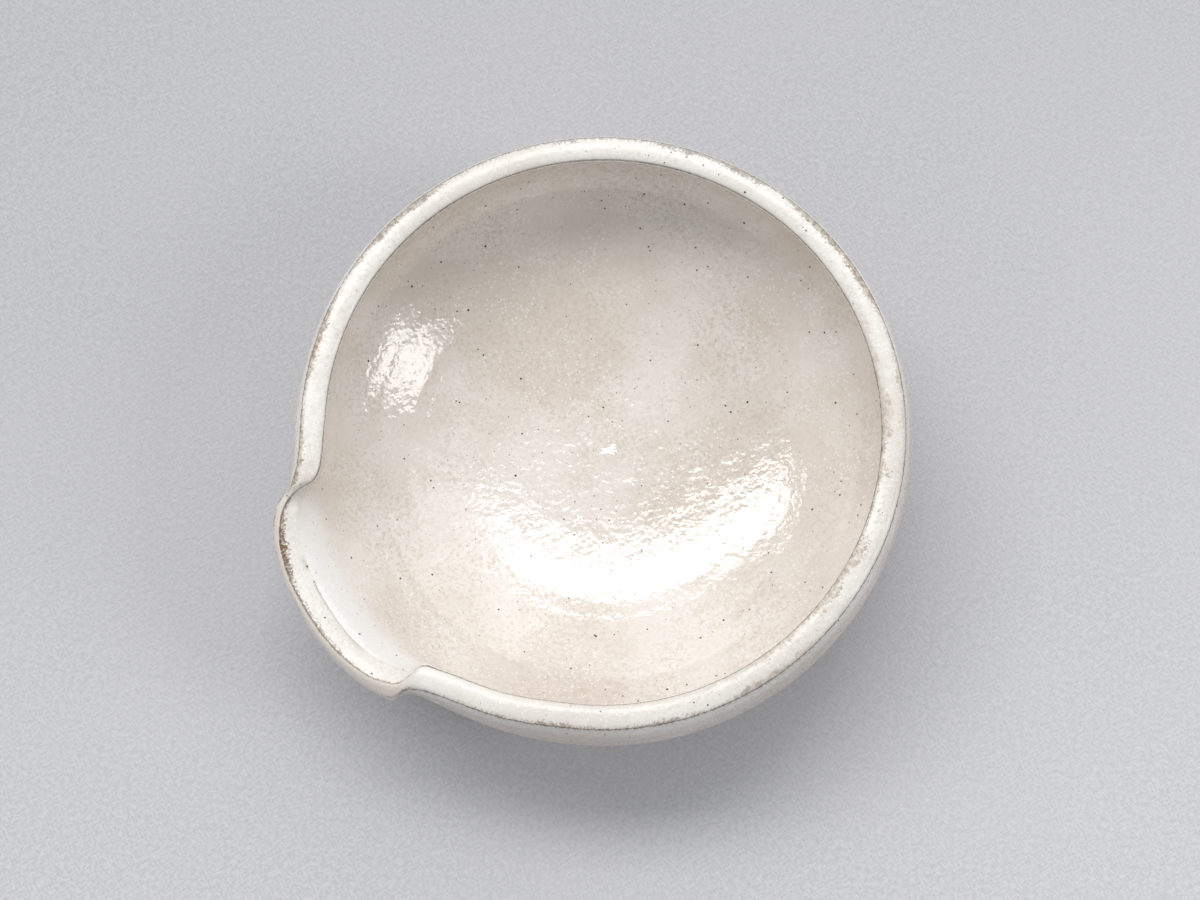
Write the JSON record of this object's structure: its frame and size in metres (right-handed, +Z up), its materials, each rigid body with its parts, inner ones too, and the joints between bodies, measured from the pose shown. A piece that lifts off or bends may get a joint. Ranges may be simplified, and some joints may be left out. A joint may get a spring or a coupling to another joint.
{
  "type": "pouring bowl",
  "caption": "Hand-thrown glazed stoneware bowl with a wide spout pulled from its rim, for mixing, drying down and pouring.",
  "frame": {"origin": "centre of the foot ring's resting face, on the table", "axes": "+Z up through the bowl's axis; -X along the spout's centre line, from the axis out over the lip; +Y by the right-hand rule"},
  "size_m": [0.1661, 0.1562, 0.054],
  "materials": {
    "stoneware_clay": "matte",
    "bare_foot_clay": "matte",
    "inner_glaze": "gloss",
    "rim_glaze": "gloss",
    "outer_glaze": "gloss"
  },
  "bodies": {
    "root": {"thrown_body": "stoneware_clay", "foot_ring": "bare_foot_clay", "inner_glaze": "inner_glaze", "rim_glaze": "rim_glaze", "outer_glaze": "outer_glaze"}
  },
  "joints": []
}
